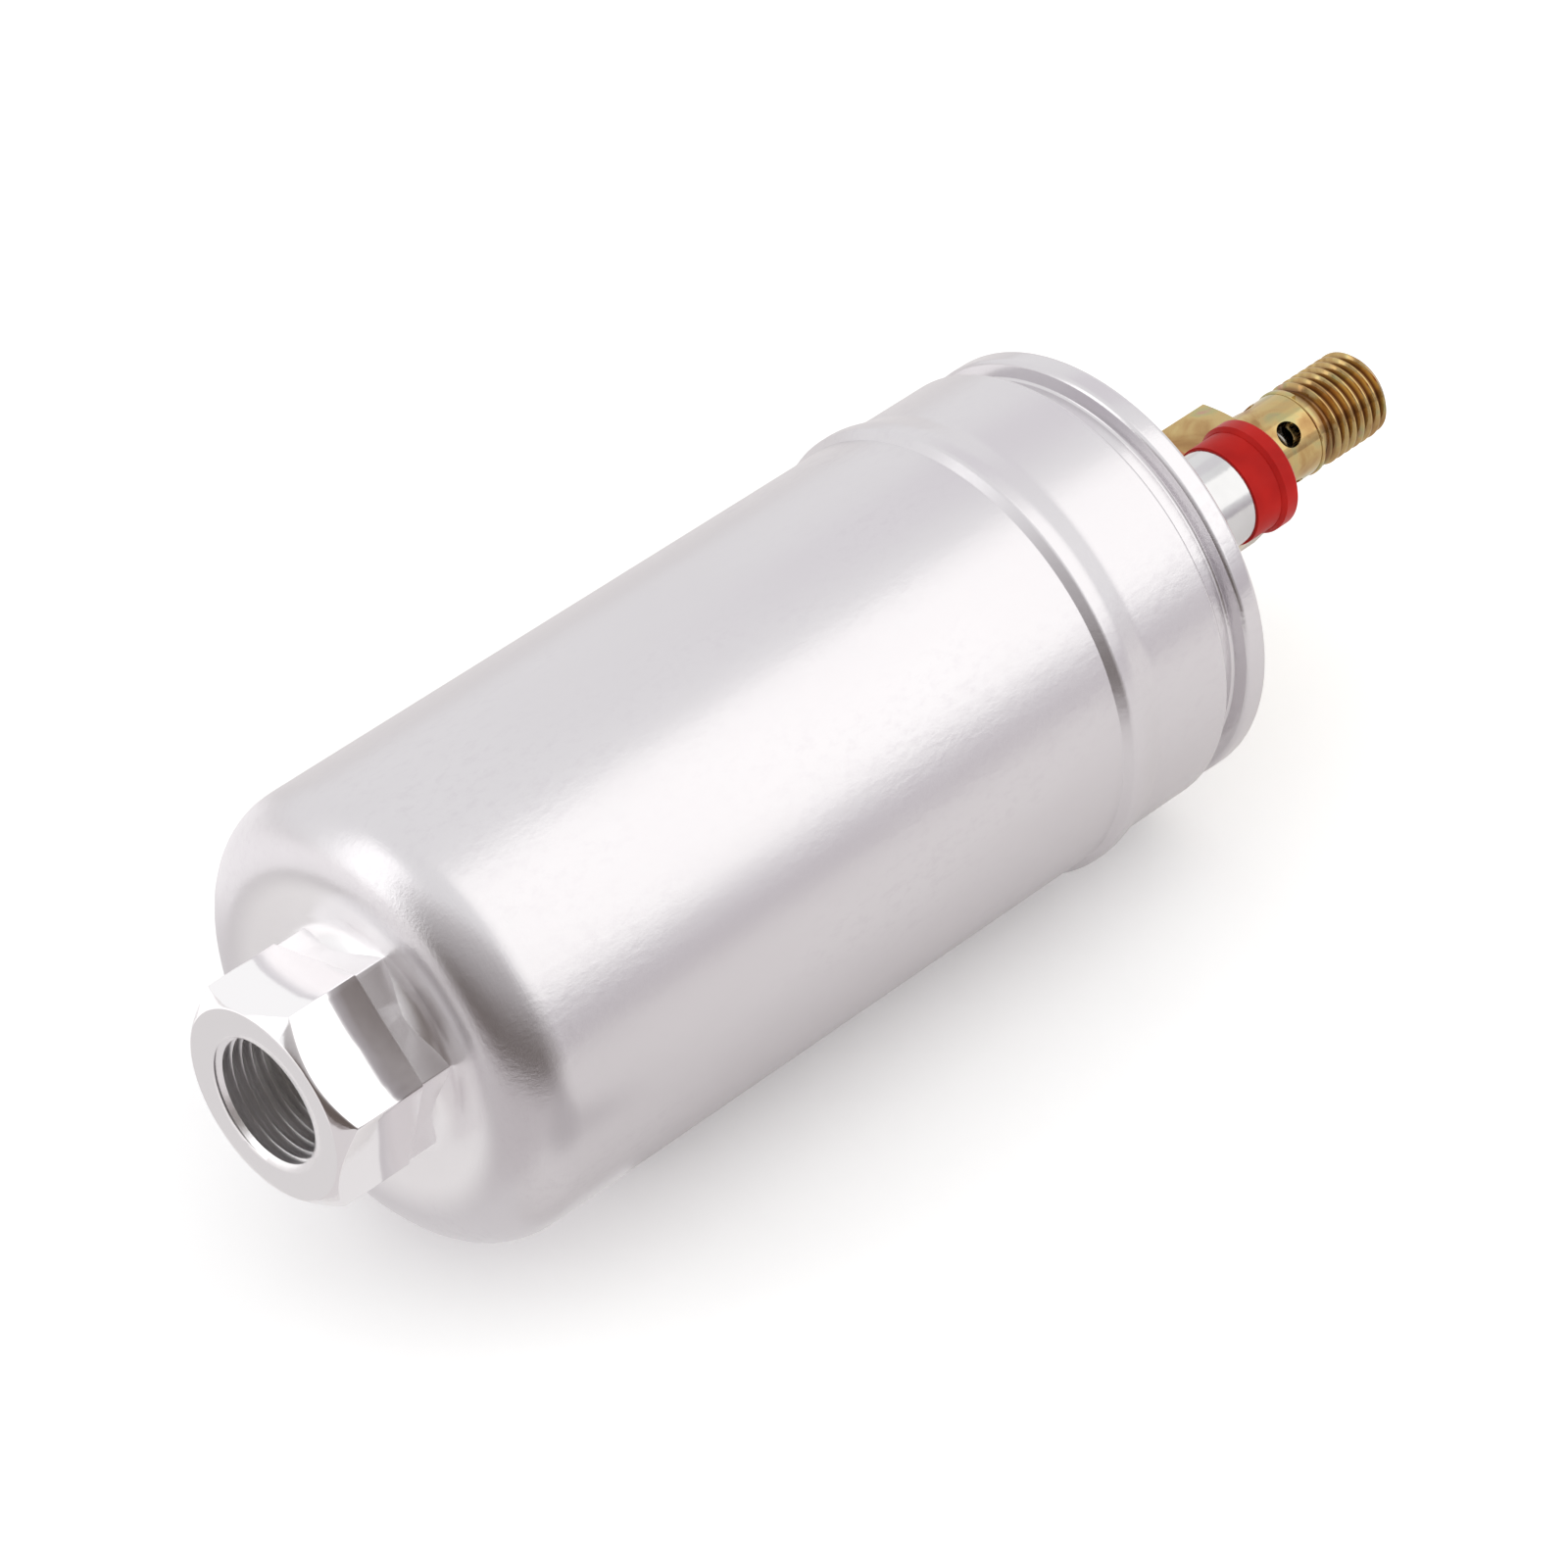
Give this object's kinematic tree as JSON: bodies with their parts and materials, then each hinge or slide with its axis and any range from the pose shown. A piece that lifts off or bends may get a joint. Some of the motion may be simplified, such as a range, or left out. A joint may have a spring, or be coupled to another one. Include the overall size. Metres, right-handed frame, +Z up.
{
  "type": "inline fuel pump",
  "caption": "Cylindrical inline electric fuel pump with hexagonal threaded inlet, crimped end cover, insulated terminal and check-valve outlet on the axis.",
  "frame": {"origin": "on the pump's axis, in the middle of the plain barrel, where a clamp holds it", "axes": "+X along the axis from inlet to outlet, +Z up, the positive terminal lies up and towards -Y"},
  "size_m": [0.1879, 0.062, 0.062],
  "materials": {
    "aluminium_casing": "satin, drawn and lightly scratched",
    "cast_aluminium": "fine cast and turned",
    "yellow_steel": "yellow passivated zinc plate",
    "bright_steel": "bright zinc plate",
    "plain_steel": "oiled, ground",
    "red_plastic": "moulded, semi-gloss",
    "black_plastic": "moulded, matte",
    "white_plastic": "moulded mesh",
    "rubber": "matte",
    "copper": "bare and enamelled copper",
    "brass": "drawn",
    "bronze": "sintered",
    "sintered_iron": "sintered, ground faces",
    "magnet": "fired ferrite, matte",
    "carbon": "pressed carbon"
  },
  "bodies": {
    "pump_body": {"brush_card": "black_plastic", "brush_spring_lower": "plain_steel", "brush_spring_upper": "plain_steel", "brush_tube_lower": "brass", "brush_tube_upper": "brass", "casing": "aluminium_casing", "check_spring": "plain_steel", "choke_front": "copper", "choke_rear": "copper", "cover_sealing_ring": "rubber", "eccentric_ring": "sintered_iron", "end_cover": "cast_aluminium", "flux_ring": "plain_steel", "front_bush": "bronze", "inlet_plate": "cast_aluminium", "inlet_strainer": "white_plastic", "inner_insulating_washer": "black_plastic", "magnet_clip_lower": "plain_steel", "magnet_clip_upper": "plain_steel", "magnet_front": "magnet", "magnet_rear": "magnet", "middle_bush": "bronze", "middle_plate": "cast_aluminium", "negative_nut": "bright_steel", "negative_stud": "bright_steel", "negative_washer": "bright_steel", "outlet_plate": "cast_aluminium", "outlet_sealing_washer": "copper", "outlet_valve_body": "yellow_steel", "positive_insulator": "red_plastic", "positive_nut": "bright_steel", "positive_stud": "bright_steel", "positive_washer": "bright_steel", "rear_bush": "bronze", "relief_spring": "plain_steel", "stack_screws": "bright_steel", "stack_sealing_ring": "rubber"},
    "rotor": {"shaft": "plain_steel", "armature_core": "plain_steel", "armature_windings": "copper", "commutator": "copper", "inner_gear": "sintered_iron", "impeller": "black_plastic"},
    "gear_ring": {"outer_gear": "sintered_iron"},
    "check_valve": {"check_poppet": "brass"},
    "relief_valve": {"relief_ball": "plain_steel"},
    "upper_brush": {"brush_upper": "carbon"},
    "lower_brush": {"brush_lower": "carbon"}
  },
  "joints": [
    {"name": "rotor_spin", "type": "hinge", "parent": "pump_body", "child": "rotor", "pos_m": [0, 0, 0], "axis": [1, 0, 0], "continuous": true},
    {"name": "gear_ring_spin", "type": "hinge", "parent": "pump_body", "child": "gear_ring", "pos_m": [-0.02605, 0.00135, 0], "axis": [1, 0, 0], "continuous": true},
    {"name": "check_valve_slide", "type": "slide", "parent": "pump_body", "child": "check_valve", "axis": [1, 0, 0], "range_m": [0, 0.002], "stiffness_N_per_m": 150, "springref_m": -0.004, "deforming": ["check_spring"]},
    {"name": "relief_valve_slide", "type": "slide", "parent": "pump_body", "child": "relief_valve", "axis": [-1, 0, 0], "range_m": [0, 0.0015], "stiffness_N_per_m": 1500, "springref_m": -0.0033, "deforming": ["relief_spring"]},
    {"name": "upper_brush_slide", "type": "slide", "parent": "pump_body", "child": "upper_brush", "axis": [0, 0, 1], "range_m": [0, 0.002], "stiffness_N_per_m": 400, "springref_m": -0.006, "deforming": ["brush_spring_upper"]},
    {"name": "lower_brush_slide", "type": "slide", "parent": "pump_body", "child": "lower_brush", "axis": [0, 0, -1], "range_m": [0, 0.002], "stiffness_N_per_m": 400, "springref_m": -0.006, "deforming": ["brush_spring_lower"]}
  ],
  "couplings": [
    {"joint": "gear_ring_spin", "follows": "rotor_spin", "ratio": 0.85714}
  ]
}
